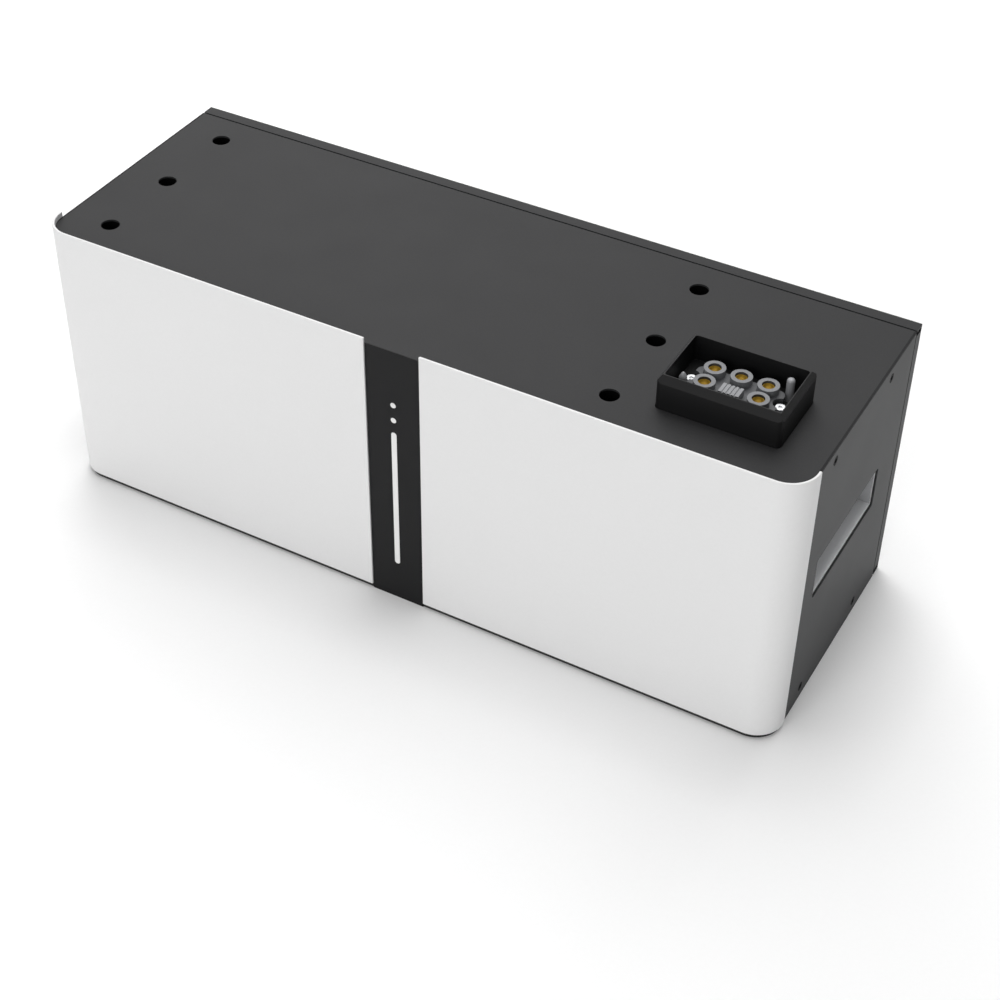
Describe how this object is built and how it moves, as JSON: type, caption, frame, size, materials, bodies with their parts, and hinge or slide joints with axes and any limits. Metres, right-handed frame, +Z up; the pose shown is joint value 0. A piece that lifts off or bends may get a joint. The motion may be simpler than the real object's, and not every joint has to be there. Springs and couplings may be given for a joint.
{
  "type": "stackable battery module",
  "caption": "Flat steel battery module with white front covers, a lit strip, hand pockets in both ends and a blind-mate connector on top for the module stacked above.",
  "frame": {"origin": "middle of the footprint, on the floor", "axes": "+X to the right end as seen from the front, -Y out of the front covers, +Z up"},
  "size_m": [0.604, 0.212, 0.253],
  "materials": {
    "steel_dark": "fine-textured powder coat, matte",
    "steel_grey": "fine-textured powder coat, matte",
    "cover_white": "satin white moulding",
    "strip_black": "satin dark grey film on plastic",
    "lens_white": "milky translucent",
    "pocket_grey": "fine-textured moulding",
    "plastic_black": "glass-filled, satin",
    "plastic_grey": "satin moulding",
    "plastic_light": "satin moulding",
    "screw_black": "black oxide",
    "screw_silver": "bright zinc",
    "pin_steel": "satin",
    "contact_gold": "gold-plated, satin",
    "copper": "bare copper",
    "zinc_steel": "zinc-plated sheet",
    "plate_aluminium": "plain plate",
    "cell_film": "blue insulating film over an aluminium can",
    "pad_foam": "compression pad",
    "board_green": "solder mask"
  },
  "bodies": {
    "root": {"base_tray": "steel_dark", "top_panel": "steel_grey", "side_panel_left": "steel_grey", "side_panel_right": "steel_grey", "rear_cover": "steel_grey", "front_panel": "steel_dark", "front_cover_left": "cover_white", "front_cover_right": "cover_white", "indicator_strip": "strip_black", "light_bar_lens": "lens_white", "status_lenses": "lens_white", "led_board": "board_green", "handle_pocket_left": "pocket_grey", "handle_pocket_right": "pocket_grey", "side_screws": "screw_black", "rear_screws": "screw_black", "top_locating_cups": "plastic_black", "bottom_locating_cups": "plastic_black", "connector_housing": "plastic_black", "connector_insert": "plastic_grey", "power_contacts": "contact_gold", "signal_block": "plastic_light", "connector_screws": "screw_silver", "guide_pins": "pin_steel", "bottom_shroud": "plastic_black", "bottom_plug": "plastic_grey", "bottom_plug_pins": "contact_gold", "pack_rails": "zinc_steel", "end_plate_left": "plate_aluminium", "end_plate_right": "plate_aluminium", "cell_pads": "pad_foam", "pack_straps": "zinc_steel", "cell_busbars": "copper", "sense_board": "board_green", "bms_bracket": "zinc_steel", "bms_board": "board_green", "contactors": "plastic_black", "main_fuse": "plastic_light", "power_links": "copper", "cell_01": "cell_film", "cell_02": "cell_film", "cell_03": "cell_film", "cell_04": "cell_film", "cell_05": "cell_film", "cell_06": "cell_film", "cell_07": "cell_film", "cell_08": "cell_film", "cell_09": "cell_film", "cell_10": "cell_film", "cell_11": "cell_film", "cell_12": "cell_film", "cell_13": "cell_film", "cell_14": "cell_film", "cell_15": "cell_film", "cell_16": "cell_film"}
  },
  "joints": []
}
